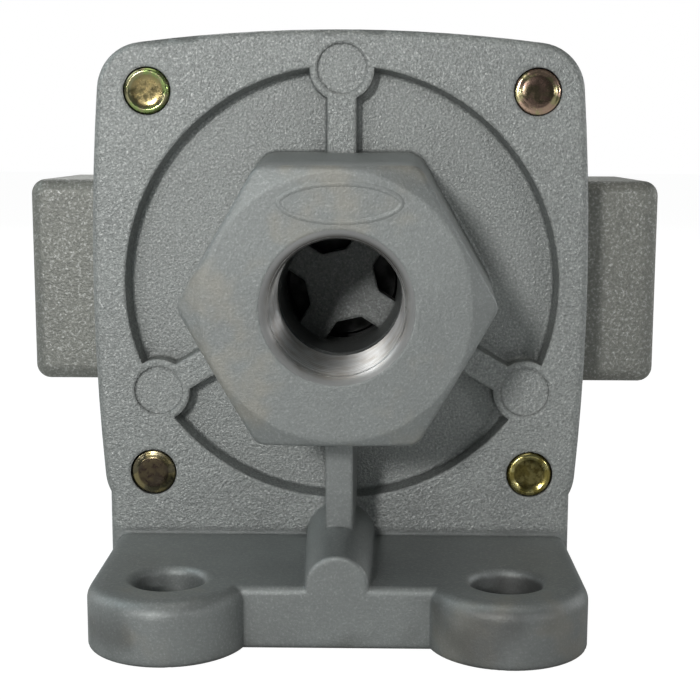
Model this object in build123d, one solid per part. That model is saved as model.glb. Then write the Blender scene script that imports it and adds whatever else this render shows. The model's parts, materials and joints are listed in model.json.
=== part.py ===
from build123d import *
from math import atan, degrees, radians, tan
import os

# Diaphragm cut-off valve with a mounting foot, in millimetres.
# The origin is on the underside of the foot, midway between its two bolt holes.
# +X is to the right and +Z up, as seen from the front; +Y runs from the inlet port to the exhaust port.
# Depths are measured along +Y from the front surface of the cover plate, and heights from the port axis.

# Places of the valve's own axis and of the plate surface
PORT_HEIGHT = 52.6
PLATE_Y = 24.5

# M22 x 1.5 ports
THREAD_R = 10.19
MOUTH_R = 11.4
MOUTH_DEPTH = 1.2

# Cover plate
COVER_THICKNESS = 13.0
PLATE_HALF_WIDTH = 41.4
PLATE_HALF_HEIGHT = 42.0
PLATE_CORNER_X = 39.5
PLATE_CORNER_Z = 39.0
PLATE_SHIFT = -0.3
CORNER_RADIUS = 8.0
PLATE_EDGE = 1.2
RECESS_RIM_R = 36.2
RECESS_FLOOR_R = 35.6
RECESS_DEPTH = 3.5
RECESS_ROOT_RADIUS = 0.6

# Hexagonal inlet boss
HEX_FRONT = -31.0
HEX_APOTHEM = 20.5
HEX_BASE_APOTHEM = 22.0
HEX_CORNER_RADIUS = 4.0
HEX_FACE_R = 19.8
HEX_FACE_BEVEL = 18.0
HEX_EDGE = 0.6
INLET_THREAD_END = -9.6
CAST_BORE_R = 9.8
SPIDER_R = 9.4
SPIDER_FRONT = 1.0
SPIDER_REAR = 5.5
SPIDER_HUB_HALF = 5.8
SPIDER_SPOKE_WIDTH = 5.2
SPIDER_TURN = 12.4
WINDOW_CORNER_RADIUS = 0.9

# Ribs and round pads of the recess
RIB_WIDTH = 4.9
RIB_DRAFT = 4.0
PAD_PITCH_R = 35.7
PAD_BOSS_R = 5.3
PAD_MARK_R = 4.1
PAD_MARK_DEPTH = 0.35
PAD_ANGLES = (90, 210, 330)

# Foot
FOOT_HEIGHT = 9.8
FOOT_HALF_WIDTH = 38.5
FOOT_WALL_HALF_WIDTH = 39.2
FOOT_WALL_TOP = 24.0
FOOT_HOLE_X = 26.0
FOOT_HOLE_R = 5.5
FOOT_HOLE_EDGE = 1.3
LOBE_R = 12.5
WEB_FRONT_Y = -3.9
LOBE_EDGE = 2.4
WEB_EDGE = 1.3
FOOT_LOWER_EDGE = 0.6
GUSSET_FRONT = -14.0
GUSSET_WIDTH = 5.4
GUSSET_DRAFT = 2.0
COLUMN_R = 5.9
COLUMN_FRONT_R = 4.85
COLUMN_EDGE = 0.5

# Clamp screws, M8 x 25
SCREW_PITCH = 64.0
SCREW_R = 3.6
TAPPED_R = 3.93
CLEARANCE_R = 4.5
SCREW_LENGTH = 25.0
SCREW_END_CHAMFER = 0.8
HEAD_ACROSS_FLATS = 13.0
HEAD_HEIGHT = 5.3
WASHER_R = 7.2
WASHER_BORE_R = 4.1
WASHER_THICKNESS = 2.1
WASHER_SPLIT = 1.2

# Chamber and seats
CHAMBER_R = 28.5
CHAMBER_FRONT = 9.0
SEAT_INNER_R = 12.5
SEAT_OUTER_R = 14.5
INLET_SEAT = 10.5
TRAVEL = 3.0
SEAT_GAP = 0.05

# Rear body
FLANGE_REAR = 23.2
FLANGE_INSET = 0.5
CASING_R = 31.0
CASING_REAR_R = 29.8
CASING_REAR = 49.5
CHAMBER_REAR = 44.0
GALLERY_R = 26.0
TUBE_R = 13.5
TUBE_BORE_R = 10.5
SHOULDER = 31.0
SHOULDER_BORE_R = 9.3
EXHAUST_END = 58.0
EXHAUST_BOSS_R = 17.0
THREAD_LENGTH = 17.0
SIDE_BOSS_HALF = 55.6
SIDE_BOSS_FRONT = 15.0
SIDE_BOSS_DEPTH = 35.6
SIDE_BOSS_TOP = 17.1
SIDE_BOSS_BOTTOM = -18.7
SIDE_BOSS_EDGE = 2.6
SIDE_PORT_R = 9.5
SIDE_FACE_R = 15.5
SIDE_FACE_DEPTH = 0.5

# Cover seal
SEAL_R = 31.6
SEAL_SECTION_R = 1.2
GROOVE_WIDTH = 2.8
GROOVE_DEPTH = 2.42

# Moving valve disc and its guide
DIAPHRAGM_R = 22.0
DIAPHRAGM_THICKNESS = 3.0
DISC_R = 9.3
FRONT_DISC_THICKNESS = 1.0
REAR_DISC_THICKNESS = 1.2
STEM_THREAD_R = 1.95
STEM_COLLAR_R = 3.9
STEM_COLLAR_LENGTH = 1.5
STEM_R = 3.0
STEM_FRONT = 6.1
STEM_REAR = 33.0
NUT_ACROSS_FLATS = 7.0
NUT_HEIGHT = 2.2
TOOTH_WASHER_R = 3.9
TOOTH_WASHER_THICKNESS = 0.5

# Spring, spring seat and bush
SPRING_SEAT_THICKNESS = 3.0
SPRING_SEAT_CLEARANCE = 0.05
SPRING_SEAT_HUB_R = 5.9
FLOW_HOLE_R = 1.6
FLOW_HOLE_PITCH_R = 7.9
FLOW_HOLES = 6
BUSH_R = 4.4
BUSH_BORE_R = 3.05
BUSH_LENGTH = 7.0
SPRING_R = 5.1
SPRING_WIRE_R = 0.45
SPRING_TURNS = 4

DIAPHRAGM_REAR = INLET_SEAT + DIAPHRAGM_THICKNESS
EXHAUST_SEAT = DIAPHRAGM_REAR + TRAVEL + SEAT_GAP
SPRING_SEAT_FRONT = SHOULDER - SPRING_SEAT_THICKNESS
SIDE_PORT_DEPTH = SIDE_BOSS_FRONT + SIDE_BOSS_DEPTH / 2
SCREW_PLACES = [(SCREW_PITCH / 2 * x, SCREW_PITCH / 2 * z) for x, z in ((-1, 1), (1, 1), (1, -1), (-1, -1))]
PORT_AXIS = Axis((0, PLATE_Y, PORT_HEIGHT), (0, 1, 0))


def facing(depth):
    """Plane across the port axis at a depth, seen from the front: its x is X and its y is Z."""
    return Plane(origin=(0, PLATE_Y + depth, PORT_HEIGHT), x_dir=(1, 0, 0), z_dir=(0, -1, 0))


def slab(sketch, front, rear, draft=0):
    """A sketch seen from the front, made solid between two depths and drawn in towards the front."""
    return extrude(facing(rear) * sketch, amount=rear - front, taper=draft)


def turned(profile):
    """A solid of revolution about the port axis, from (depth, radius) points."""
    outline = Polyline([(radius, PLATE_Y + depth, PORT_HEIGHT) for depth, radius in profile], close=True)
    return revolve(make_face(outline), axis=PORT_AXIS)


def pillow(inset=0.0):
    """The cover plate's outline: four slightly bowed sides with round corners."""
    x = PLATE_CORNER_X - inset
    z = PLATE_CORNER_Z - inset
    wide = PLATE_HALF_WIDTH - inset
    high = PLATE_HALF_HEIGHT - inset
    sides = [
        ThreePointArc((-x, z), (0, high), (x, z)),
        ThreePointArc((x, z), (wide, 0), (x, -z)),
        ThreePointArc((x, -z), (0, -high), (-x, -z)),
        ThreePointArc((-x, -z), (-wide, 0), (-x, z)),
    ]
    face = make_face(sides)
    return Pos(PLATE_SHIFT, 0) * fillet(face.vertices(), CORNER_RADIUS)


def foot_web(rear):
    """The straight middle of the foot, with its two front edges rounded."""
    length = rear - WEB_FRONT_Y
    web = Pos(0, rear - length / 2, FOOT_HEIGHT / 2) * Box(2 * FOOT_HOLE_X, length, FOOT_HEIGHT)
    web = fillet(web.edges().filter_by(Axis.X).group_by(Axis.Y)[0].sort_by(Axis.Z)[-1], WEB_EDGE)
    return fillet(web.edges().filter_by(Axis.X).group_by(Axis.Z)[0].sort_by(Axis.Y)[0], FOOT_LOWER_EDGE)


def foot_arm(side, rear):
    """One bolt lobe and the arm behind it, rounded above and below; the web covers its inner edge."""
    arm = Pos(side * FOOT_HALF_WIDTH / 2, rear / 2) * Rectangle(FOOT_HALF_WIDTH, rear)
    block = extrude(arm + Pos(side * FOOT_HOLE_X, 0) * Circle(LOBE_R), amount=FOOT_HEIGHT)
    level = block.edges().filter_by(lambda e: e.bounding_box().size.Z < 0.01 and e.center().Y < PLATE_Y)
    block = fillet(level.group_by(Axis.Z)[-1], LOBE_EDGE)
    level = block.edges().filter_by(lambda e: e.bounding_box().size.Z < 0.01 and e.center().Y < PLATE_Y)
    return fillet(level.group_by(Axis.Z)[0], FOOT_LOWER_EDGE)


def foot():
    """The foot with its bolt holes, and the low wall that joins it to the plate."""
    rear = PLATE_Y + 2
    base = foot_web(rear)
    for side in (-1, 1):
        base += foot_arm(side, rear)
    for side in (-1, 1):
        base -= Pos(side * FOOT_HOLE_X, 0, 0) * Cylinder(FOOT_HOLE_R, 3 * FOOT_HEIGHT)
    holes = base.edges().filter_by(GeomType.CIRCLE).filter_by(lambda e: e.radius == FOOT_HOLE_R)
    base = fillet(holes.group_by(Axis.Z)[-1], FOOT_HOLE_EDGE)
    wall = Pos(0, PLATE_Y + COVER_THICKNESS / 2, FOOT_WALL_TOP / 2) * Box(
        2 * FOOT_WALL_HALF_WIDTH, COVER_THICKNESS, FOOT_WALL_TOP
    )
    low_sides = wall.edges().filter_by(Axis.Z).group_by(Axis.Y)[0]
    return base + Pos(PLATE_SHIFT, 0, 0) * fillet(low_sides, PLATE_EDGE)


def plate():
    """The bowed cover plate with its soft front edge and the round recess."""
    blank = slab(pillow(), 0, COVER_THICKNESS)
    blank = fillet(blank.faces().sort_by(Axis.Y)[0].outer_wire().edges(), PLATE_EDGE)
    recess = turned([
        (RECESS_DEPTH, 0), (RECESS_DEPTH, RECESS_FLOOR_R), (0, RECESS_RIM_R), (-1, RECESS_RIM_R + 0.2),
        (-1, 0),
    ])
    return blank, recess


def hexagon_boss():
    """The drafted hexagon with rounded corners, turned off at a slant round its front face."""
    root = RECESS_DEPTH + 0.5
    draft = degrees(atan((HEX_BASE_APOTHEM - HEX_APOTHEM) / -HEX_FRONT))
    apothem = HEX_BASE_APOTHEM + root * (HEX_BASE_APOTHEM - HEX_APOTHEM) / -HEX_FRONT
    sketch = fillet(RegularPolygon(apothem, 6, major_radius=False).vertices(), HEX_CORNER_RADIUS)
    outside = 2 * HEX_BASE_APOTHEM
    bevel = (outside - HEX_FACE_R) * tan(radians(HEX_FACE_BEVEL))
    boss = slab(sketch, HEX_FRONT, root, draft) & turned([
        (HEX_FRONT, 0), (HEX_FRONT, HEX_FACE_R), (HEX_FRONT + bevel, outside), (root, outside), (root, 0),
    ])
    cone = boss.faces().filter_by(GeomType.CONE).sort_by(Axis.Y)[0]
    return fillet(cone.outer_wire().edges(), HEX_EDGE)


def recess_rib(angle):
    """One rib from the hexagon to its round pad, level with the plate."""
    length = PAD_PITCH_R - HEX_APOTHEM + 2
    bar = Rot(0, 0, angle) * Pos(PAD_PITCH_R - length / 2, 0) * Rectangle(length, RIB_WIDTH + 0.4)
    pad = Rot(0, 0, angle) * Pos(PAD_PITCH_R, 0) * Circle(PAD_BOSS_R)
    return slab(bar, 0, RECESS_DEPTH + 0.5, RIB_DRAFT) + slab(pad, 0, RECESS_DEPTH + 0.5)


def pad_mark(angle):
    """The shallow round mark that an ejector pin leaves on a pad."""
    return slab(Rot(0, 0, angle) * Pos(PAD_PITCH_R, 0) * Circle(PAD_MARK_R), -1, PAD_MARK_DEPTH)


def gusset():
    """The upright rib under the hexagon, and the round column that lies along the foot."""
    foot_level = FOOT_HEIGHT - PORT_HEIGHT
    bottom = foot_level + 1
    top = -HEX_APOTHEM + 1.5
    upright = Pos(0, (top + bottom) / 2) * Rectangle(GUSSET_WIDTH, top - bottom)
    rib = slab(upright, GUSSET_FRONT, 1, GUSSET_DRAFT)
    front = WEB_FRONT_Y - PLATE_Y
    draft = degrees(atan((COLUMN_R - COLUMN_FRONT_R) / -front))
    column = slab(Pos(0, foot_level) * Circle(COLUMN_R), front, 1, draft)
    column = fillet(column.faces().sort_by(Axis.Y)[0].edges(), COLUMN_EDGE)
    below = Pos(0, PLATE_Y / 2, -COLUMN_R) * Box(4 * COLUMN_R, 3 * PLATE_Y, 2 * COLUMN_R)
    return rib + (column - below)


def spider_windows():
    """The four windows round the spider's hub, at the bottom of the inlet bore."""
    spokes = Rectangle(4 * SPIDER_R, SPIDER_SPOKE_WIDTH) + Rectangle(SPIDER_SPOKE_WIDTH, 4 * SPIDER_R)
    solid = Rectangle(2 * SPIDER_HUB_HALF, 2 * SPIDER_HUB_HALF) + Rot(0, 0, 45) * spokes
    openings = Circle(SPIDER_R) - Rot(0, 0, SPIDER_TURN) * solid
    inner = openings.vertices().filter_by(lambda v: Vector(v.X, v.Y).length < SPIDER_R - 0.1)
    openings = fillet(inner, WINDOW_CORNER_RADIUS)
    return slab(openings, SPIDER_FRONT - 0.5, SPIDER_REAR + 0.5)


def inlet_bore():
    """Chamfered mouth, tapped length and the cast bore down to the spider."""
    mouth = HEX_FRONT - 1
    return turned([
        (mouth, 0), (mouth, MOUTH_R + 1), (HEX_FRONT, MOUTH_R), (HEX_FRONT + MOUTH_DEPTH, THREAD_R),
        (INLET_THREAD_END, THREAD_R), (INLET_THREAD_END, CAST_BORE_R), (SPIDER_FRONT, SPIDER_R),
        (SPIDER_FRONT, 0),
    ])


def cover_chamber():
    """The hollow behind the spider, with the raised inlet seat round it."""
    rear = COVER_THICKNESS + 1
    return turned([
        (SPIDER_REAR, 0), (SPIDER_REAR, SEAT_INNER_R), (INLET_SEAT - 0.4, SEAT_INNER_R),
        (INLET_SEAT, SEAT_INNER_R + 0.5), (INLET_SEAT, SEAT_OUTER_R - 0.5), (INLET_SEAT - 0.4, SEAT_OUTER_R),
        (CHAMBER_FRONT, SEAT_OUTER_R + 0.3), (CHAMBER_FRONT, CHAMBER_R), (rear, CHAMBER_R), (rear, 0),
    ])


def recess_roots(cover):
    """The edges of the recess floor, where it meets its wall, the ribs and the hexagon."""
    floor = PLATE_Y + RECESS_DEPTH
    return cover.edges().filter_by(
        lambda e: abs(e.bounding_box().min.Y - floor) < 0.001 and abs(e.bounding_box().max.Y - floor) < 0.001
    )


def front_cover():
    blank, recess = plate()
    cover = blank + foot() - recess + hexagon_boss() + gusset()
    for angle in PAD_ANGLES:
        cover += recess_rib(angle)
    cover = fillet(recess_roots(cover), RECESS_ROOT_RADIUS)
    for angle in PAD_ANGLES:
        cover -= pad_mark(angle)
    cover -= inlet_bore()
    cover -= spider_windows()
    cover -= cover_chamber()
    for place in SCREW_PLACES:
        cover -= slab(Pos(*place) * Circle(TAPPED_R), -1, COVER_THICKNESS + 1)
    return cover


def side_boss():
    """The block through both side ports, with a machined ring round each mouth."""
    middle = (SIDE_BOSS_TOP + SIDE_BOSS_BOTTOM) / 2
    block = Pos(0, PLATE_Y + SIDE_PORT_DEPTH, PORT_HEIGHT + middle) * Box(
        2 * SIDE_BOSS_HALF, SIDE_BOSS_DEPTH, SIDE_BOSS_TOP - SIDE_BOSS_BOTTOM
    )
    return fillet(block.edges(), SIDE_BOSS_EDGE)


def side_port(side):
    """The tapped port and passage of one side, and the shallow faced ring at its mouth."""
    def bar(radius, inner, outer):
        place = Plane(origin=(side * inner, PLATE_Y + SIDE_PORT_DEPTH, PORT_HEIGHT), z_dir=(side, 0, 0))
        return extrude(place * Circle(radius), amount=outer - inner)
    face = SIDE_BOSS_HALF - SIDE_FACE_DEPTH
    mouth = Plane(origin=(side * face, PLATE_Y + SIDE_PORT_DEPTH, PORT_HEIGHT), z_dir=(-side, 0, 0))
    cone = extrude(mouth * Circle(MOUTH_R), amount=MOUTH_DEPTH, taper=45)
    passage = bar(SIDE_PORT_R, (TUBE_R + GALLERY_R) / 2, face)
    return cone + passage + bar(THREAD_R, face - THREAD_LENGTH, face) + bar(SIDE_FACE_R, face, face + 1)


def body_hollow():
    """Chamber, gallery round the exhaust tube, exhaust seat, stepped exhaust bore and its tapped end."""
    front = COVER_THICKNESS - 1
    return turned([
        (front, 0), (front, CHAMBER_R), (FLANGE_REAR, CHAMBER_R), (FLANGE_REAR + 2, GALLERY_R),
        (CHAMBER_REAR, GALLERY_R), (CHAMBER_REAR, TUBE_R + 0.6), (EXHAUST_SEAT + 0.6, TUBE_R),
        (EXHAUST_SEAT, TUBE_R - 0.9), (EXHAUST_SEAT, TUBE_BORE_R + 0.9), (EXHAUST_SEAT + 0.6, TUBE_BORE_R),
        (SHOULDER, TUBE_BORE_R), (SHOULDER, SHOULDER_BORE_R), (EXHAUST_END - THREAD_LENGTH, SHOULDER_BORE_R),
        (EXHAUST_END - THREAD_LENGTH, THREAD_R), (EXHAUST_END - MOUTH_DEPTH, THREAD_R),
        (EXHAUST_END, MOUTH_R), (EXHAUST_END + 1, MOUTH_R), (EXHAUST_END + 1, 0),
    ])


def body_rib(angle):
    """A web between the round casing and the flange, above or below."""
    reach = PLATE_HALF_HEIGHT - FLANGE_INSET - 1.5
    outline = make_face(Polyline([
        (CASING_REAR_R - 2, PLATE_Y + FLANGE_REAR - 1), (reach, PLATE_Y + FLANGE_REAR - 1),
        (CASING_REAR_R - 2, PLATE_Y + CASING_REAR - 5),
    ], close=True))
    web = extrude(outline, amount=2, both=True)
    return Pos(0, 0, PORT_HEIGHT) * Rot(0, angle, 0) * web


def rear_body():
    flange = slab(pillow(FLANGE_INSET), COVER_THICKNESS, FLANGE_REAR)
    flange = fillet(flange.faces().sort_by(Axis.Y)[-1].outer_wire().edges(), PLATE_EDGE)
    casing = turned([
        (FLANGE_REAR - 1, 0), (FLANGE_REAR - 1, CASING_R), (CASING_REAR - 3, CASING_REAR_R),
        (CASING_REAR, CASING_REAR_R - 3), (CASING_REAR, EXHAUST_BOSS_R + 0.5),
        (EXHAUST_END - 1, EXHAUST_BOSS_R), (EXHAUST_END, EXHAUST_BOSS_R - 1), (EXHAUST_END, 0),
    ])
    body = flange + casing + side_boss()
    for angle in (-60, -90, -120, 60, 90, 120):
        body += body_rib(angle)
    body -= body_hollow()
    for side in (-1, 1):
        body -= side_port(side)
    body -= turned([
        (COVER_THICKNESS - 1, SEAL_R - GROOVE_WIDTH / 2), (COVER_THICKNESS - 1, SEAL_R + GROOVE_WIDTH / 2),
        (COVER_THICKNESS + GROOVE_DEPTH, SEAL_R + GROOVE_WIDTH / 2),
        (COVER_THICKNESS + GROOVE_DEPTH, SEAL_R - GROOVE_WIDTH / 2),
    ])
    for place in SCREW_PLACES:
        body -= slab(Pos(*place) * Circle(CLEARANCE_R), COVER_THICKNESS - 1, FLANGE_REAR + 1)
    return body


def cover_o_ring():
    """Seal ring of the cover joint, flat where the groove and the cover press on it."""
    centre = COVER_THICKNESS + GROOVE_DEPTH / 2
    place = Plane(origin=(SEAL_R, PLATE_Y + centre, PORT_HEIGHT), z_dir=(0, 0, 1))
    section = place * Rot(0, 0, 22.5) * RegularPolygon(SEAL_SECTION_R, 8, major_radius=False)
    return revolve(section, axis=PORT_AXIS)


def clamp_screw(place):
    """Hexagon screw from the back, its chamfered end just inside the plate's front surface."""
    seat = FLANGE_REAR + WASHER_THICKNESS
    shank = slab(Pos(*place) * Circle(SCREW_R), seat - SCREW_LENGTH, seat)
    shank = chamfer(shank.faces().sort_by(Axis.Y)[0].edges(), SCREW_END_CHAMFER)
    hexagon = Pos(*place) * RegularPolygon(HEAD_ACROSS_FLATS / 2, 6, major_radius=False)
    head = slab(hexagon, seat, seat + HEAD_HEIGHT)
    crown = slab(Pos(*place) * Circle(HEAD_ACROSS_FLATS / 2 * 1.12), seat, seat + HEAD_HEIGHT)
    crown = chamfer(crown.faces().sort_by(Axis.Y)[-1].edges(), 1.2)
    return shank + (head & crown)


def lock_washer(place):
    """Split spring washer under a screw head."""
    ring = Pos(*place) * (Circle(WASHER_R) - Circle(WASHER_BORE_R))
    gap = Pos(place[0], place[1] + WASHER_R) * Rot(0, 0, 20) * Rectangle(WASHER_SPLIT, 2 * WASHER_R)
    return slab(ring - gap, FLANGE_REAR, FLANGE_REAR + WASHER_THICKNESS)


def diaphragm():
    """Rubber disc with a thicker sealing band on both faces and a thin rim."""
    front = INLET_SEAT
    rear = DIAPHRAGM_REAR
    return turned([
        (front, STEM_THREAD_R + 0.05), (rear, STEM_THREAD_R + 0.05), (rear, SEAT_OUTER_R + 1),
        (rear - 0.8, SEAT_OUTER_R + 2.5), (rear - 0.8, DIAPHRAGM_R - 0.6), (rear - 1.2, DIAPHRAGM_R),
        (front + 0.4, DIAPHRAGM_R), (front, DIAPHRAGM_R - 0.6),
    ])


def flat_disc(front, thickness, radius, bore):
    """A plain round disc or washer on the stem, with its outer edges broken."""
    rear = front + thickness
    edge = 0.15
    return turned([
        (front, bore), (front, radius - edge), (front + edge, radius),
        (rear - edge, radius), (rear, radius - edge), (rear, bore),
    ])


def stem():
    """Turned stem: threaded nose through the discs, collar behind them and the long guide."""
    nose = DIAPHRAGM_REAR + REAR_DISC_THICKNESS
    return turned([
        (STEM_FRONT, 0), (STEM_FRONT, STEM_THREAD_R - 0.4), (STEM_FRONT + 0.4, STEM_THREAD_R),
        (nose, STEM_THREAD_R), (nose, STEM_COLLAR_R), (nose + STEM_COLLAR_LENGTH, STEM_COLLAR_R),
        (nose + STEM_COLLAR_LENGTH, STEM_R), (STEM_REAR - 0.6, STEM_R), (STEM_REAR, STEM_R - 0.6),
        (STEM_REAR, 0),
    ])


def stem_nut():
    rear = INLET_SEAT - FRONT_DISC_THICKNESS - TOOTH_WASHER_THICKNESS
    outline = RegularPolygon(NUT_ACROSS_FLATS / 2, 6, major_radius=False) - Circle(STEM_THREAD_R + 0.02)
    return slab(outline, rear - NUT_HEIGHT, rear)


def stem_lock_washer():
    """Tooth lock washer under the stem nut."""
    ring = Circle(TOOTH_WASHER_R - 0.6)
    for tooth in range(8):
        ring += Rot(0, 0, 45 * tooth) * Pos(TOOTH_WASHER_R - 0.6, 0) * Rectangle(1.2, 1.1)
    rear = INLET_SEAT - FRONT_DISC_THICKNESS
    return slab(ring - Circle(STEM_THREAD_R + 0.05), rear - TOOTH_WASHER_THICKNESS, rear)


def spring_seat():
    """Perforated disc on the exhaust bore's shoulder, with a long hub for the bush."""
    rear = SPRING_SEAT_FRONT + BUSH_LENGTH
    seat = turned([
        (SPRING_SEAT_FRONT, BUSH_R), (SPRING_SEAT_FRONT, TUBE_BORE_R - SPRING_SEAT_CLEARANCE),
        (SHOULDER, TUBE_BORE_R - SPRING_SEAT_CLEARANCE), (SHOULDER, SPRING_SEAT_HUB_R),
        (rear, SPRING_SEAT_HUB_R - 0.3), (rear, BUSH_R),
    ])
    for hole in range(FLOW_HOLES):
        turn = Rot(0, 0, 360 / FLOW_HOLES * hole) * Pos(FLOW_HOLE_PITCH_R, 0)
        seat -= slab(turn * Circle(FLOW_HOLE_R), SPRING_SEAT_FRONT - 1, SHOULDER + 1)
    return seat


def guide_bush():
    rear = SPRING_SEAT_FRONT + BUSH_LENGTH
    return turned([
        (SPRING_SEAT_FRONT, BUSH_BORE_R), (SPRING_SEAT_FRONT, BUSH_R), (rear, BUSH_R), (rear, BUSH_BORE_R),
    ])


def return_spring():
    """Compression spring between the rear disc and the spring seat, its wire drawn with six flats."""
    front = DIAPHRAGM_REAR + REAR_DISC_THICKNESS + SPRING_WIRE_R + 0.02
    rear = SPRING_SEAT_FRONT - SPRING_WIRE_R - 0.02
    height = rear - front
    path = Helix(pitch=height / SPRING_TURNS, height=height, radius=SPRING_R)
    section = Plane(origin=path @ 0, z_dir=path % 0) * RegularPolygon(SPRING_WIRE_R, 6)
    wire = sweep(section, path=path, is_frenet=True)
    return Plane(origin=(0, PLATE_Y + front, PORT_HEIGHT), z_dir=(0, 1, 0)) * wire


def nodes():
    parts = {
        "front_cover": front_cover(),
        "rear_body": rear_body(),
        "cover_o_ring": cover_o_ring(),
        "diaphragm": diaphragm(),
        "front_disc": flat_disc(
            INLET_SEAT - FRONT_DISC_THICKNESS, FRONT_DISC_THICKNESS, DISC_R, STEM_THREAD_R + 0.05
        ),
        "rear_disc": flat_disc(DIAPHRAGM_REAR, REAR_DISC_THICKNESS, DISC_R, STEM_THREAD_R + 0.05),
        "stem": stem(),
        "stem_nut": stem_nut(),
        "stem_lock_washer": stem_lock_washer(),
        "return_spring": return_spring(),
        "spring_seat": spring_seat(),
        "guide_bush": guide_bush(),
    }
    for number, place in enumerate(SCREW_PLACES, start=1):
        parts[f"clamp_screw_{number}"] = clamp_screw(place)
        parts[f"lock_washer_{number}"] = lock_washer(place)
    return parts


os.makedirs("parts", exist_ok=True)
for name, shape in nodes().items():
    export_step(shape, f"parts/{name}.step")
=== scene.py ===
import json
from math import cos, pi, radians, sin

import bmesh
import bpy
from mathutils import Matrix, Vector


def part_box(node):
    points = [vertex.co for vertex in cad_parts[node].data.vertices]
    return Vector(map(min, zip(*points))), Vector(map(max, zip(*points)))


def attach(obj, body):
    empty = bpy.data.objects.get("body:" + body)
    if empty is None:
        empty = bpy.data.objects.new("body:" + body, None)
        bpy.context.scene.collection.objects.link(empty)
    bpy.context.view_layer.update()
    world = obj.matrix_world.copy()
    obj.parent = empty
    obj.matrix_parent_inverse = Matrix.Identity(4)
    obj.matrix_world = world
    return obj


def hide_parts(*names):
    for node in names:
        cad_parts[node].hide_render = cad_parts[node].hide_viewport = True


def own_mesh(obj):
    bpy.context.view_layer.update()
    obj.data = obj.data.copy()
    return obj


# Looks of a diaphragm cut-off valve, in metres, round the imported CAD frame.
# The inlet port's axis runs along +Y at PORT_HEIGHT. Names that end in _ZONE are where a mask fades in, in
# millimetres: a height over the ground, or a depth behind the cover plate's front surface at PLATE_Y.

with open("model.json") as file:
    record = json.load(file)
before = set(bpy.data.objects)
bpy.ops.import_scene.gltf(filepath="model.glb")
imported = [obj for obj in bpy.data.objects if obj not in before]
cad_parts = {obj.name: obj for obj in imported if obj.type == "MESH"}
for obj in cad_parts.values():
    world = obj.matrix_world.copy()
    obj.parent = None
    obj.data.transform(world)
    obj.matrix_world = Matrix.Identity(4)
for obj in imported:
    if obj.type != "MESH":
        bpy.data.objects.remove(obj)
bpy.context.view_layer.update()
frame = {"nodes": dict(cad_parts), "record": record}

MM = 0.001
PORT_HEIGHT = 52.6 * MM
PLATE_Y = 24.5 * MM
HEX_FRONT_Y = PLATE_Y - 31.0 * MM
SIDE_MOUTH_X = 55.1 * MM
SIDE_MOUTH_Y = PLATE_Y + 32.8 * MM
EXHAUST_MOUTH_Y = PLATE_Y + 58.0 * MM

THREAD_CORE_R = 10.19 * MM
THREAD_PITCH = 1.5 * MM
MOUTH_LENGTH = 2.3 * MM
INLET_THREAD_LENGTH = 18.4 * MM
OTHER_THREAD_LENGTH = 15.0 * MM

SCREW_HALF_PITCH = 32.0 * MM
SCREW_END_Y = PLATE_Y + 0.1 * MM

OVAL_CENTRE = (0.42 * MM, HEX_FRONT_Y, PORT_HEIGHT + 15.2 * MM)
OVAL_HALF_WIDTH = 9.3 * MM
OVAL_HALF_HEIGHT = 3.2 * MM

SPRING_WIRE_R = 0.45 * MM
SPRING_COIL_R = 5.1 * MM
SPRING_TURNS = 4

PLATE_ZONE = (-1.6, -0.8)
ABOVE_FOOT_ZONE = (9.8, 11.5)
FOOT_ZONE = (9.3, 8.6)
HEX_FACE_ZONE = (-28.5, -30.2)
BORE_RADIUS_ZONE = (11.3, 10.9)
TAPPED_ZONE = (-11.2, -11.6)
THROAT_ZONE = (-11.6, -11.2)
SCREW_MIDDLE_ZONE = (2.8, 2.45)
SCREW_END_ZONE = (1.6, 1.2)
LIP_ZONE = (4.2, 3.2)
LIP_EDGE_ZONE = (0.9, 0.1)
UPPER_LIP_RISE = (-1.0 * MM, 7.0 * MM)


# Shader nodes

def add(tree, kind, inputs=None, **settings):
    """A node with its settings and its inputs, each either a value or another node's output."""
    made = tree.nodes.new("ShaderNode" + kind)
    for name, value in settings.items():
        setattr(made, name, value)
    for name, value in (inputs or {}).items():
        feed(tree, made.inputs[name], value)
    return made


def feed(tree, socket, value):
    if isinstance(value, bpy.types.NodeSocket):
        tree.links.new(value, socket)
    else:
        socket.default_value = value


def calc(tree, operation, first, second=0.0):
    return add(tree, "Math", {0: first, 1: second}, operation=operation).outputs[0]


def times(tree, first, second):
    return calc(tree, "MULTIPLY", first, second)


def distance(tree, across, up):
    """Length in millimetres of two metre offsets at a right angle."""
    square = calc(tree, "ADD", times(tree, across, across), times(tree, up, up))
    return times(tree, calc(tree, "SQRT", square), 1 / MM)


def ramp(tree, value, low, high, start=0.0, end=1.0):
    """Value carried from low..high to start..end, with a smooth turn at both ends."""
    made = add(tree, "MapRange", {
        "Value": value, "From Min": low, "From Max": high, "To Min": start, "To Max": end,
    }, interpolation_type="SMOOTHSTEP")
    return made.outputs["Result"]


def blend_values(tree, share, first, second):
    return add(tree, "Mix", {"Factor": share, "A": first, "B": second}).outputs["Result"]


def noise(tree, place, scale, detail=2.0, roughness=0.5):
    made = add(tree, "TexNoise", {"Vector": place, "Scale": scale, "Detail": detail, "Roughness": roughness})
    return made.outputs["Fac"]


def tint(tree, share, first, second):
    """The first colour carried to the second by the share."""
    made = add(tree, "Mix", data_type="RGBA")
    feed(tree, made.inputs["Factor"], share)
    feed(tree, made.inputs["A"], first)
    feed(tree, made.inputs["B"], second)
    return made.outputs["Result"]


def coat(tree, base, mask, share, colour):
    """The base with a colour laid over it where the mask is, at most to the share."""
    return tint(tree, times(tree, mask, share), base, colour)


def grey(level, warmth=0.0):
    """A linear grey, a little warmer or cooler."""
    return (level * (1 + warmth), level, level * (1 - warmth), 1)


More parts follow.
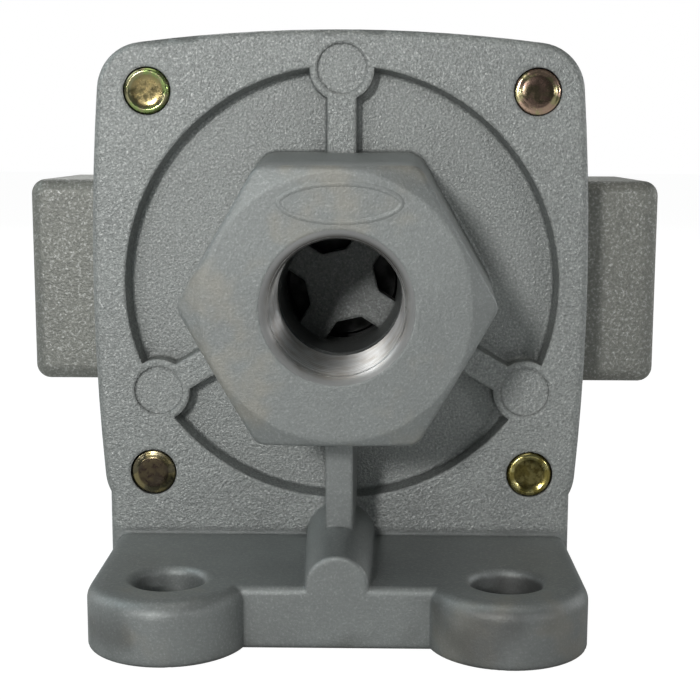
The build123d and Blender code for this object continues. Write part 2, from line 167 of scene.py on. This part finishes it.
def new_group(name, inputs, outputs):
    tree = bpy.data.node_groups.new(name, "ShaderNodeTree")
    for label, kind, value in inputs:
        tree.interface.new_socket(label, in_out="INPUT", socket_type="NodeSocket" + kind).default_value = value
    for label, kind in outputs:
        tree.interface.new_socket(label, in_out="OUTPUT", socket_type="NodeSocket" + kind)
    return tree, tree.nodes.new("NodeGroupInput").outputs, tree.nodes.new("NodeGroupOutput").inputs


def use(tree, group, **inputs):
    """A group placed in a material; an input's name has underscores for its spaces."""
    made = tree.nodes.new("ShaderNodeGroup")
    made.node_tree = group
    for name, value in inputs.items():
        feed(tree, made.inputs[name.replace("_", " ")], value)
    return made.outputs


def port_distance_group():
    """Distance from the port axis, and depth behind the cover plate's front surface, both in millimetres."""
    tree, given, result = new_group(
        "port_distance", [("Position", "Vector", (0, 0, 0))], [("Radius", "Float"), ("Depth", "Float")]
    )
    place = add(tree, "SeparateXYZ", {0: given["Position"]}).outputs
    rise = calc(tree, "SUBTRACT", place["Z"], PORT_HEIGHT)
    depth = times(tree, calc(tree, "SUBTRACT", place["Y"], PLATE_Y), 1 / MM)
    tree.links.new(distance(tree, place["X"], rise), result["Radius"])
    tree.links.new(depth, result["Depth"])
    return tree


def screw_distance_group():
    """Distance in millimetres from the axis of the nearest clamp screw."""
    tree, given, result = new_group("screw_distance", [("Position", "Vector", (0, 0, 0))], [("Radius", "Float")])
    place = add(tree, "SeparateXYZ", {0: given["Position"]}).outputs
    rise = calc(tree, "SUBTRACT", place["Z"], PORT_HEIGHT)
    across = calc(tree, "SUBTRACT", calc(tree, "ABSOLUTE", place["X"]), SCREW_HALF_PITCH)
    up = calc(tree, "SUBTRACT", calc(tree, "ABSOLUTE", rise), SCREW_HALF_PITCH)
    tree.links.new(distance(tree, across, up), result["Radius"])
    return tree


def cast_grain_group():
    """The grain of a blasted casting: height for bump, a fine tone of the same size, and a slow mottle."""
    tree, given, result = new_group(
        "cast_grain",
        [("Position", "Vector", (0, 0, 0)), ("Grain Size", "Float", 0.3)],
        [("Height", "Float"), ("Tone", "Float"), ("Mottle", "Float")],
    )
    place = given["Position"]
    fine_scale = calc(tree, "DIVIDE", 1 / MM, given["Grain Size"])
    fine = noise(tree, place, fine_scale, 2.0, 0.6)
    coarse = noise(tree, place, times(tree, fine_scale, 0.42), 1.0)
    height = calc(tree, "ADD", times(tree, fine, 0.6), times(tree, coarse, 0.4))
    tree.links.new(height, result["Height"])
    tree.links.new(noise(tree, place, times(tree, fine_scale, 0.75), 3.0, 0.65), result["Tone"])
    tree.links.new(noise(tree, place, 95.0, 3.0, 0.55), result["Mottle"])
    return tree


def wear_and_corner_shade_group():
    """Where an edge is rubbed bright, painted shade where a corner is hemmed in, and the softened surface normal."""
    tree, given, result = new_group(
        "wear_and_corner_shade",
        [("Position", "Vector", (0, 0, 0)), ("Edge Width", "Float", 0.4), ("Corner Reach", "Float", 3.0)],
        [("Worn", "Float"), ("Corner_Shade", "Float"), ("Soft Normal", "Vector")],
    )
    plain = add(tree, "NewGeometry").outputs["Normal"]
    rounded = add(tree, "Bevel", {"Radius": times(tree, given["Edge Width"], MM)}, samples=4).outputs[0]
    along = add(tree, "VectorMath", {0: rounded, 1: plain}, operation="DOT_PRODUCT").outputs["Value"]
    edge = ramp(tree, along, 0.99, 0.86)
    broken = ramp(tree, noise(tree, given["Position"], 700.0, 3.0, 0.7), 0.36, 0.62)
    corner = add(tree, "AmbientOcclusion", {"Distance": times(tree, given["Corner Reach"], MM)}, samples=6)
    open_share = corner.outputs["AO"]
    worn = times(tree, times(tree, edge, broken), ramp(tree, open_share, 0.75, 0.95))
    tree.links.new(worn, result["Worn"])
    # Painted shade: darkness where nearby surfaces hem a corner in
    tree.links.new(ramp(tree, open_share, 0.8, 0.3), result["Corner_Shade"])
    tree.links.new(rounded, result["Soft Normal"])
    return tree


def turning_marks_group():
    """Fine rings left by a turning tool, along an axis given by its distance in millimetres."""
    tree, given, result = new_group(
        "turning_marks",
        [("Along", "Float", 0.0), ("Position", "Vector", (0, 0, 0)), ("Pitch", "Float", 0.15)],
        [("Height", "Float"), ("Shade", "Float")],
    )
    turn = calc(tree, "DIVIDE", given["Along"], given["Pitch"])
    wobble = times(tree, noise(tree, given["Position"], 260.0, 2.0), 1.2)
    wave = calc(tree, "SINE", times(tree, calc(tree, "ADD", turn, wobble), 2 * pi))
    rows = add(tree, "CombineXYZ", {"X": times(tree, turn, 0.37)}).outputs[0]
    tree.links.new(calc(tree, "ADD", times(tree, wave, 0.5), 0.5), result["Height"])
    tree.links.new(noise(tree, rows, 1.0, 3.0, 0.7), result["Shade"])
    return tree


PORT_DISTANCE = port_distance_group()
SCREW_DISTANCE = screw_distance_group()
CAST_GRAIN = cast_grain_group()
WEAR_AND_CORNER_SHADE = wear_and_corner_shade_group()
TURNING_MARKS = turning_marks_group()


# Finishes

def new_material(name):
    made = bpy.data.materials.new(name)
    made.use_nodes = True
    tree = made.node_tree
    shader = tree.nodes["Principled BSDF"]
    place = add(tree, "TexCoord").outputs["Object"]
    return made, tree, shader, place


def finish_surface(tree, shader, height, strength, depth, normal=None):
    bump = add(tree, "Bump", {"Height": height, "Strength": strength, "Distance": depth})
    if normal:
        tree.links.new(normal, bump.inputs["Normal"])
    tree.links.new(bump.outputs["Normal"], shader.inputs["Normal"])


def cast_aluminium(name, grainy_shade, smooth_shade, grain_size):
    """Blasted die casting: a grainy plate, smoother drafted faces, soft edges, stains, painted shade in corners, deep
    in the throat and on the foot's right side, and a bright tapped bore.
    """
    made, tree, shader, place = new_material(name)
    port = use(tree, PORT_DISTANCE, Position=place)
    grain = use(tree, CAST_GRAIN, Position=place, Grain_Size=grain_size)
    wear_and_shade = use(tree, WEAR_AND_CORNER_SHADE, Position=place, Edge_Width=0.8)
    parts = add(tree, "SeparateXYZ", {0: place}).outputs
    height_mm = times(tree, parts["Z"], 1 / MM)

    on_plate = times(tree, ramp(tree, port["Depth"], *PLATE_ZONE), ramp(tree, height_mm, *ABOVE_FOOT_ZONE))
    on_foot = ramp(tree, height_mm, *FOOT_ZONE)
    on_hex_face = ramp(tree, port["Depth"], *HEX_FACE_ZONE)
    near_axis = ramp(tree, port["Radius"], *BORE_RADIUS_ZONE)
    in_bore = times(tree, near_axis, ramp(tree, port["Depth"], *TAPPED_ZONE))
    throat_shade = times(tree, near_axis, ramp(tree, port["Depth"], *THROAT_ZONE))
    grain_share = ramp(tree, on_plate, 0.0, 1.0, 0.35, 1.0)

    pits = times(tree, ramp(tree, grain["Tone"], 0.5, 0.3), grain_share)
    flecks = times(tree, ramp(tree, grain["Tone"], 0.5, 0.74), grain_share)
    hex_patches = times(tree, on_hex_face, ramp(tree, noise(tree, place, 75.0, 3.0, 0.6), 0.52, 0.68))
    foot_smudges = times(tree, on_foot, ramp(tree, noise(tree, place, 62.0, 2.0, 0.5), 0.56, 0.7))
    # Painted shade: the foot darkens towards its right side, away from the light
    foot_right_shade = times(tree, on_foot, ramp(tree, parts["X"], 0.0, 30 * MM))

    base = tint(tree, on_plate, smooth_shade, grainy_shade)
    base = tint(tree, ramp(tree, grain["Mottle"], 0.3, 0.7, 0.16, 0.0), base, grey(0.1))
    base = coat(tree, base, pits, 0.45, grey(0.14))
    base = coat(tree, base, flecks, 0.5, grey(0.72))
    base = coat(tree, base, wear_and_shade["Worn"], 0.2, grey(0.5, 0.03))
    # Painted shade in hemmed-in corners
    base = coat(tree, base, wear_and_shade["Corner_Shade"], 0.4, grey(0.04))
    base = coat(tree, base, hex_patches, 0.3, WARM_STAIN)
    base = coat(tree, base, foot_smudges, 0.45, grey(0.06, 0.1))
    base = coat(tree, base, foot_right_shade, 0.3, grey(0.1))
    # Painted shade deep in the bore's throat, behind the tapped part
    base = coat(tree, base, throat_shade, 0.35, grey(0.03))
    tree.links.new(tint(tree, in_bore, base, grey(0.7)), shader.inputs["Base Color"])
    tree.links.new(ramp(tree, in_bore, 0.0, 1.0, 0.7, 1.0), shader.inputs["Metallic"])

    dull = calc(tree, "ADD", 0.47, times(tree, grain["Mottle"], 0.12))
    dull = calc(tree, "SUBTRACT", dull, times(tree, flecks, 0.1))
    tree.links.new(blend_values(tree, in_bore, dull, 0.3), shader.inputs["Roughness"])
    height = times(tree, grain["Height"], grain_share)
    finish_surface(tree, shader, height, 1.0, 0.2 * MM, wear_and_shade["Soft Normal"])
    return made


def port_wall(tree, place, port_axis):
    """For a port along X or Y: distance from its axis and depth from its mouth, in millimetres, and rise in metres."""
    parts = add(tree, "SeparateXYZ", {0: place}).outputs
    rise = calc(tree, "SUBTRACT", parts["Z"], PORT_HEIGHT)
    if port_axis[0]:
        aside = calc(tree, "SUBTRACT", parts["Y"], SIDE_MOUTH_Y)
        along, mouth = parts["X"], SIDE_MOUTH_X
    else:
        aside = parts["X"]
        along = calc(tree, "SUBTRACT", parts["Y"], (HEX_FRONT_Y + EXHAUST_MOUTH_Y) / 2)
        mouth = (EXHAUST_MOUTH_Y - HEX_FRONT_Y) / 2
    depth = calc(tree, "SUBTRACT", mouth, calc(tree, "ABSOLUTE", along))
    return distance(tree, aside, rise), times(tree, depth, 1 / MM), rise


def tapped_metal(name, port_axis):
    """Cut metal of a tapped port, its shine drawn out along the port by fine grooves, and dull on its lip, with
    painted shade darkening the lip most on its upper half.
    """
    made, tree, shader, place = new_material(name)
    radius, depth, rise = port_wall(tree, place, port_axis)
    rings = use(tree, TURNING_MARKS, Along=calc(tree, "ADD", depth, radius), Position=place, Pitch=0.3)
    dull_lip_and_shade = times(tree, ramp(tree, depth, *LIP_ZONE), ramp(tree, rise, *UPPER_LIP_RISE, 0.1, 1.0))
    edge = ramp(tree, depth, *LIP_EDGE_ZONE)
    drift = noise(tree, place, 240.0, 2.0, 0.6)

    base = tint(tree, rings["Shade"], grey(0.5), grey(0.84))
    base = tint(tree, ramp(tree, drift, 0.35, 0.7), base, grey(0.5, 0.05))
    # Painted shade: the lip is darkened, most on its upper half
    base = tint(tree, dull_lip_and_shade, base, grey(0.13, 0.05))
    tree.links.new(tint(tree, edge, base, grey(0.31)), shader.inputs["Base Color"])
    cast_share = calc(tree, "MAXIMUM", times(tree, dull_lip_and_shade, 0.5), edge)
    tree.links.new(blend_values(tree, cast_share, 1.0, 0.25), shader.inputs["Metallic"])
    grooved = ramp(tree, rings["Shade"], 0.3, 0.7, 0.45, 0.53)
    tree.links.new(blend_values(tree, dull_lip_and_shade, grooved, 0.75), shader.inputs["Roughness"])

    shader.inputs["Anisotropic"].default_value = 1.0
    along_port = add(tree, "CombineXYZ", dict(zip("XYZ", port_axis))).outputs[0]
    tree.links.new(along_port, shader.inputs["Tangent"])
    finish_surface(tree, shader, rings["Height"], 0.4, 0.02 * MM)
    return made


def turned_metal(name, shade, dark_shade, roughness, ring_pitch=0.12):
    """Turned or drawn metal with fine rings round the port axis, slight staining and painted shade in its corners."""
    made, tree, shader, place = new_material(name)
    port = use(tree, PORT_DISTANCE, Position=place)
    along = calc(tree, "ADD", port["Depth"], port["Radius"])
    rings = use(tree, TURNING_MARKS, Along=along, Position=place, Pitch=ring_pitch)
    wear_and_shade = use(tree, WEAR_AND_CORNER_SHADE, Position=place, Edge_Width=0.2, Corner_Reach=1.0)
    stain = noise(tree, place, 420.0, 3.0, 0.6)

    base = tint(tree, ramp(tree, stain, 0.35, 0.65), dark_shade, shade)
    base = coat(tree, base, rings["Shade"], 0.3, shade)
    # Painted shade in hemmed-in corners
    base = coat(tree, base, wear_and_shade["Corner_Shade"], 0.4, grey(0.05))
    tree.links.new(base, shader.inputs["Base Color"])
    shader.inputs["Metallic"].default_value = 1.0
    tree.links.new(ramp(tree, stain, 0.3, 0.7, roughness + 0.1, roughness - 0.05), shader.inputs["Roughness"])
    finish_surface(tree, shader, rings["Height"], 0.35, 0.01 * MM)
    return made


def yellow_zinc(name, middle_tone, rim_tone, patch_tone):
    """Yellow passivate on a screw, darkened on the end that shows in the cover: its middle, its rim and patches."""
    made, tree, shader, place = new_material(name)
    wear_and_shade = use(tree, WEAR_AND_CORNER_SHADE, Position=place, Edge_Width=0.2, Corner_Reach=0.8)
    drift = noise(tree, place, 420.0, 2.0, 0.55)
    patches = noise(tree, place, 1100.0, 2.0, 0.6)
    middle = ramp(tree, use(tree, SCREW_DISTANCE, Position=place)["Radius"], *SCREW_MIDDLE_ZONE)
    at_end = ramp(tree, use(tree, PORT_DISTANCE, Position=place)["Depth"], *SCREW_END_ZONE)

    fresh = tint(tree, ramp(tree, drift, 0.38, 0.62), (0.62, 0.52, 0.17, 1), (0.5, 0.55, 0.2, 1))
    film = tint(tree, ramp(tree, drift, 0.44, 0.54), rim_tone, patch_tone)
    end = coat(tree, film, middle, ramp(tree, patches, 0.3, 0.6, 1.0, 0.75), middle_tone)
    base = tint(tree, at_end, fresh, end)
    base = coat(tree, base, wear_and_shade["Worn"], 0.3, (0.72, 0.66, 0.42, 1))
    tree.links.new(base, shader.inputs["Base Color"])
    shader.inputs["Metallic"].default_value = 1.0
    tree.links.new(ramp(tree, patches, 0.3, 0.7, 0.3, 0.16), shader.inputs["Roughness"])
    finish_surface(tree, shader, patches, 0.45, 0.03 * MM)
    return made


def black_rubber():
    """Moulded rubber with a grey bloom."""
    made, tree, shader, place = new_material("black_rubber")
    bloom = noise(tree, place, 160.0, 3.0, 0.6)
    base = tint(tree, ramp(tree, bloom, 0.4, 0.75), grey(0.012), grey(0.035, 0.03))
    tree.links.new(base, shader.inputs["Base Color"])
    tree.links.new(ramp(tree, bloom, 0.3, 0.7, 0.5, 0.72), shader.inputs["Roughness"])
    finish_surface(tree, shader, noise(tree, place, 2600.0, 2.0), 0.3, 0.03 * MM)
    return made


WARM_STAIN = (0.42, 0.37, 0.29, 1)
TAPPED_ALONG_Y = tapped_metal("tapped_aluminium", (0, 1, 0))
TAPPED_ALONG_X = tapped_metal("tapped_side_ports", (1, 0, 0))
FINISHES = {
    "cast_aluminium": cast_aluminium("cast_aluminium", (0.35, 0.365, 0.358, 1), (0.295, 0.31, 0.307, 1), 0.3),
    "body_casting": cast_aluminium("body_casting", (0.272, 0.275, 0.251, 1), (0.245, 0.25, 0.23, 1), 0.36),
    "black_rubber": black_rubber(),
    "plated_steel": turned_metal("plated_steel", grey(0.62, 0.01), grey(0.48, 0.01), 0.3),
    "blackened_steel": turned_metal("blackened_steel", grey(0.04), grey(0.02), 0.4),
    "spring_steel": turned_metal("spring_steel", grey(0.5), grey(0.36), 0.28),
    "bush_brass": turned_metal("bush_brass", (0.78, 0.57, 0.24, 1), (0.6, 0.42, 0.16, 1), 0.3),
    "machined_aluminium": turned_metal("machined_aluminium", grey(0.72, 0.01), grey(0.6, 0.01), 0.3, 0.2),
}

# Middle, rim and patch tones of the ends of clamp screws 1 to 4
SCREW_TONES = (
    ((0.36, 0.28, 0.13, 1), (0.4, 0.37, 0.21, 1), (0.34, 0.44, 0.16, 1)),
    ((0.12, 0.08, 0.065, 1), (0.45, 0.4, 0.22, 1), (0.52, 0.36, 0.27, 1)),
    ((0.085, 0.068, 0.022, 1), (0.28, 0.23, 0.07, 1), (0.52, 0.46, 0.2, 1)),
    ((0.055, 0.038, 0.032, 1), (0.16, 0.14, 0.09, 1), (0.3, 0.25, 0.13, 1)),
)
ZINCS = [yellow_zinc(f"yellow_zinc_{number}", *tones) for number, tones in enumerate(SCREW_TONES, 1)]

for row in frame["record"]["subparts"]:
    slots = frame["nodes"][row["node"]].data.materials
    slots.clear()
    if row["material_slot"] == "yellow_zinc":
        slots.append(ZINCS[int(row["node"][-1]) - 1])
    else:
        slots.append(FINISHES[row["material_slot"]])


# New pieces

def link(name, data):
    made = bpy.data.objects.new(name, data)
    bpy.context.scene.collection.objects.link(made)
    return made


def piece(name, mesh, material):
    """A finished bmesh as a smooth piece of the housing, with its place in its mesh and its faces outwards."""
    bmesh.ops.recalc_face_normals(mesh, faces=mesh.faces)
    data = bpy.data.meshes.new(name)
    mesh.to_mesh(data)
    mesh.free()
    data.materials.append(material)
    data.shade_smooth()
    made = link(name, data)
    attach(made, "housing")
    return made


def drawn_line(mesh, points):
    """Vertices and edges of an open profile in the XZ plane."""
    corners = [mesh.verts.new((across, 0, up)) for across, up in points]
    return corners + [mesh.edges.new(pair) for pair in zip(corners, corners[1:])]


def turned(profile, steps):
    """A profile of (radius, height) pairs in millimetres, turned round +Z."""
    mesh = bmesh.new()
    line = drawn_line(mesh, [(radius * MM, height * MM) for radius, height in profile])
    bmesh.ops.spin(mesh, geom=line, cent=(0, 0, 0), axis=(0, 0, 1), angle=2 * pi, steps=steps, use_merge=True)
    bmesh.ops.remove_doubles(mesh, verts=mesh.verts, dist=1e-7)
    return mesh


def wound(mesh, section, pitch, turns, steps):
    """A section swept along a right-hand helix round +Z, with steps to a turn."""
    bmesh.ops.spin(
        mesh, geom=section, cent=(0, 0, 0), axis=(0, 0, 1), dvec=(0, 0, pitch / steps),
        angle=2 * pi * turns, steps=steps * turns, use_merge=False,
    )


def into_port(mouth, inwards):
    """Turns a piece made on +Z so that +Z runs inwards from a port's mouth."""
    turn = Vector((0, 0, 1)).rotation_difference(Vector(inwards)).to_matrix().to_4x4()
    return Matrix.Translation(mouth) @ turn


def tapped_finish(inwards):
    return TAPPED_ALONG_X if inwards[0] else TAPPED_ALONG_Y


def port_mouth(name, mouth, inwards):
    """The rounded lip where a port's face turns into its bore."""
    profile = ((11.38, 0.0), (11.14, 0.07), (10.88, 0.24), (10.6, 0.52), (10.34, 0.9), (10.18, 1.4), (10.12, 2.2))
    mesh = turned(profile, 96)
    bmesh.ops.transform(mesh, matrix=into_port(mouth, inwards), verts=mesh.verts)
    piece(name, mesh, tapped_finish(inwards))


def port_thread(name, start, inwards, length):
    """The rounded ridges of a tapped port, wound from behind its lip."""
    ridge = (
        (0.03, -0.5), (-0.02, -0.36), (-0.14, -0.24), (-0.25, -0.13), (-0.29, 0.0), (-0.25, 0.13), (-0.14, 0.24),
        (-0.02, 0.36), (0.03, 0.5),
    )
    mesh = bmesh.new()
    section = drawn_line(mesh, [(THREAD_CORE_R + rise * MM, share * THREAD_PITCH) for rise, share in ridge])
    wound(mesh, section, THREAD_PITCH, int(length / THREAD_PITCH), 48)
    bmesh.ops.transform(mesh, matrix=into_port(start, inwards), verts=mesh.verts)
    piece(name, mesh, tapped_finish(inwards))


DOMED_END = (
    (0.0, 0.42), (1.6, 0.43), (2.45, 0.4), (2.7, 0.32), (3.05, 0.1), (3.3, 0.04), (3.6, 0.0), (3.74, -0.1),
    (3.78, -0.26), (3.78, -0.7), (0.0, -0.7),
)
DISHED_END = (
    (0.0, -0.06), (1.5, -0.04), (2.2, 0.0), (2.6, 0.12), (2.95, 0.3), (3.15, 0.34), (3.4, 0.26), (3.66, 0.04),
    (3.76, -0.14), (3.78, -0.3), (3.78, -0.7), (0.0, -0.7),
)


def screw_end(number, profile, across, up, tilt, turn):
    """The end of a clamp screw in its tapped hole, tilted a little."""
    mesh = turned(profile, 72)
    lean = Matrix.Rotation(radians(turn), 4, "Z") @ Matrix.Rotation(radians(tilt), 4, "X")
    place = Matrix.Translation((across * SCREW_HALF_PITCH, SCREW_END_Y, PORT_HEIGHT + up * SCREW_HALF_PITCH))
    bmesh.ops.transform(mesh, matrix=place @ Matrix.Rotation(pi / 2, 4, "X") @ lean, verts=mesh.verts)
    piece(f"screw_end_{number}", mesh, ZINCS[number - 1])


def blank_oval():
    """The raised oval rim above the inlet port, bare inside."""
    mesh = bmesh.new()
    bmesh.ops.create_circle(mesh, cap_ends=True, segments=96, radius=1.0)
    bmesh.ops.scale(mesh, vec=(OVAL_HALF_WIDTH, OVAL_HALF_HEIGHT, 1), verts=mesh.verts)
    bmesh.ops.translate(mesh, vec=(0, 0, -0.02 * MM), verts=mesh.verts)
    for step_in, step_up in ((0.3, 0.14), (0.3, 0.0), (0.3, -0.14)):
        middle = [face for face in mesh.faces if len(face.verts) > 4]
        bmesh.ops.inset_region(
            mesh, faces=middle, thickness=step_in * MM, depth=step_up * MM, use_even_offset=True, use_boundary=True
        )
    bmesh.ops.delete(mesh, geom=[face for face in mesh.faces if len(face.verts) > 4], context="FACES_ONLY")
    place = Matrix.Translation(OVAL_CENTRE) @ Matrix.Rotation(pi / 2, 4, "X")
    bmesh.ops.transform(mesh, matrix=place, verts=mesh.verts)
    piece("blank_oval", mesh, FINISHES["cast_aluminium"])


def shortening_spring():
    """The return spring as a round wire, wound at the hidden CAD spring's length; it doesn't shorten as the discs
    slide back.
    """
    lowest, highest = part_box("return_spring")
    length = highest[1] - lowest[1]
    pitch = (length - 2 * SPRING_WIRE_R) / SPRING_TURNS
    mesh = bmesh.new()
    bmesh.ops.create_circle(mesh, cap_ends=True, segments=12, radius=SPRING_WIRE_R)
    upright = Matrix.Translation((SPRING_COIL_R, 0, 0)) @ Matrix.Rotation(pi / 2, 4, "X")
    bmesh.ops.transform(mesh, matrix=upright, verts=mesh.verts)
    wound(mesh, mesh.verts[:] + mesh.edges[:] + mesh.faces[:], pitch, SPRING_TURNS, 36)
    front = (0, lowest[1] + SPRING_WIRE_R, PORT_HEIGHT)
    bmesh.ops.transform(mesh, matrix=into_port(front, (0, 1, 0)), verts=mesh.verts)
    made = piece("return_spring_wire", mesh, FINISHES["spring_steel"])
    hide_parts("return_spring")
    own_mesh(made)


# Camera, floor and light

SENSOR_WIDTH = 36
PHOTO_WIDTH_PX = 700
FOCAL_LENGTH_PX = 1392.3
CAMERA_PLACE = (0.004984, -0.20679, 0.07693)
CAMERA_PITCH, CAMERA_YAW, CAMERA_ROLL = radians(8.627), radians(-0.874), radians(0.185)
LAMP_TARGET = (0, PLATE_Y, 0.05)
WHITE = (1.0, 1.0, 1.0)


def set_camera():
    data = bpy.data.cameras.new("camera")
    data.sensor_width = SENSOR_WIDTH
    data.lens = SENSOR_WIDTH * FOCAL_LENGTH_PX / PHOTO_WIDTH_PX
    data.clip_start = 0.01
    made = link("camera", data)
    level = cos(CAMERA_PITCH)
    forward = Vector((sin(CAMERA_YAW) * level, cos(CAMERA_YAW) * level, -sin(CAMERA_PITCH)))
    right = Vector((cos(CAMERA_YAW), -sin(CAMERA_YAW), 0))
    up = right.cross(forward)
    x_axis = right * cos(CAMERA_ROLL) + up * sin(CAMERA_ROLL)
    y_axis = up * cos(CAMERA_ROLL) - right * sin(CAMERA_ROLL)
    turn = Matrix((x_axis, y_axis, -forward)).transposed().to_4x4()
    made.matrix_world = Matrix.Translation(CAMERA_PLACE) @ turn
    bpy.context.scene.camera = made


def lamp(name, place, size, power, tone=WHITE):
    data = bpy.data.lights.new(name, "AREA")
    data.shape = "DISK"
    data.size = size
    data.energy = power
    data.color = tone
    made = link(name, data)
    made.location = place
    made.rotation_euler = (Vector(LAMP_TARGET) - Vector(place)).to_track_quat("-Z", "Y").to_euler()


def set_world():
    """Faint cool light all round, and white where the camera sees past the floor."""
    world = bpy.data.worlds.new("studio")
    bpy.context.scene.world = world
    world.use_nodes = True
    tree = world.node_tree
    soft = tree.nodes["Background"]
    soft.inputs["Color"].default_value = (0.78, 1.0, 0.97, 1)
    soft.inputs["Strength"].default_value = 0.05
    white = add(tree, "Background", {"Color": (1, 1, 1, 1), "Strength": 1.0})
    seen = add(tree, "LightPath").outputs
    direct = calc(tree, "MAXIMUM", seen["Is Camera Ray"], seen["Is Transmission Ray"])
    mirrored = times(tree, seen["Is Glossy Ray"], 0.06)
    mixed = add(tree, "MixShader", {0: calc(tree, "MAXIMUM", direct, mirrored)})
    tree.links.new(soft.outputs[0], mixed.inputs[1])
    tree.links.new(white.outputs[0], mixed.inputs[2])
    tree.links.new(mixed.outputs[0], tree.nodes["World Output"].inputs["Surface"])


def set_floor():
    """A pale matt floor that the camera sees nearly white, with the valve's shadow left on it."""
    mesh = bmesh.new()
    bmesh.ops.create_grid(mesh, x_segments=1, y_segments=1, size=3.0)
    bmesh.ops.translate(mesh, verts=mesh.verts, vec=(0, 0, -0.05 * MM))
    data = bpy.data.meshes.new("floor")
    mesh.to_mesh(data)
    mesh.free()
    paint = bpy.data.materials.new("floor_paint")
    paint.use_nodes = True
    tree = paint.node_tree
    matt = tree.nodes["Principled BSDF"]
    matt.inputs["Base Color"].default_value = grey(0.8)
    matt.inputs["Roughness"].default_value = 0.9
    glow = add(tree, "Emission", {"Strength": 1.16})
    seen = add(tree, "LightPath").outputs
    mixed = add(tree, "MixShader", {0: times(tree, seen["Is Camera Ray"], 0.84)})
    tree.links.new(matt.outputs[0], mixed.inputs[1])
    tree.links.new(glow.outputs[0], mixed.inputs[2])
    tree.links.new(mixed.outputs[0], tree.nodes["Material Output"].inputs["Surface"])
    data.materials.append(paint)
    link("floor", data)


set_camera()
set_world()
set_floor()
lamp("key", (-0.235, -0.7755, 0.29), 0.1, 2.8, (1.0, 1.0, 0.98))
lamp("top", (-0.05, -0.1, 0.8), 0.5, 0.8, (1.0, 0.97, 0.9))
lamp("top_left", (-0.5, -0.04, 0.5), 0.4, 0.85, (0.86, 1.0, 1.03))
lamp("right_glint", (0.55, -0.45, 0.19), 0.07, 0.42)
lamp("left_glint", (-0.62, -0.72, 0.2), 0.07, 0.44)
lamp("back", (-0.1, 0.8, 0.5), 0.6, 1.8)
lamp("right_side", (0.75, 0.3, 0.25), 0.5, 1.2)
lamp("left_side", (-0.75, 0.3, 0.25), 0.5, 0.9)
bpy.context.scene.view_settings.view_transform = "Standard"


# The pieces in their places

# Name, mouth, direction inwards, length of thread and slot
PORTS = (
    ("inlet", (0, HEX_FRONT_Y, PORT_HEIGHT), (0, 1, 0), INLET_THREAD_LENGTH, "cast_aluminium"),
    ("left", (-SIDE_MOUTH_X, SIDE_MOUTH_Y, PORT_HEIGHT), (1, 0, 0), OTHER_THREAD_LENGTH, "body_casting"),
    ("right", (SIDE_MOUTH_X, SIDE_MOUTH_Y, PORT_HEIGHT), (-1, 0, 0), OTHER_THREAD_LENGTH, "body_casting"),
    ("exhaust", (0, EXHAUST_MOUTH_Y, PORT_HEIGHT), (0, -1, 0), OTHER_THREAD_LENGTH, "body_casting"),
)
for name, mouth, inwards, length, slot in PORTS:
    port_mouth(name + "_mouth", mouth, inwards)
    behind_lip = Vector(mouth) + MOUTH_LENGTH * Vector(inwards)
    port_thread(name + "_thread", behind_lip, inwards, length)

# Profile, side and height of the screw (-1 or 1), and its tilt and the turn of the tilt in degrees
SCREW_ENDS = (
    (DISHED_END, -1, 1, 2, 40), (DOMED_END, 1, 1, 3, 200), (DISHED_END, 1, -1, 2, 120), (DOMED_END, -1, -1, 3, 300),
)
for number, row in enumerate(SCREW_ENDS, 1):
    screw_end(number, *row)

blank_oval()
shortening_spring()
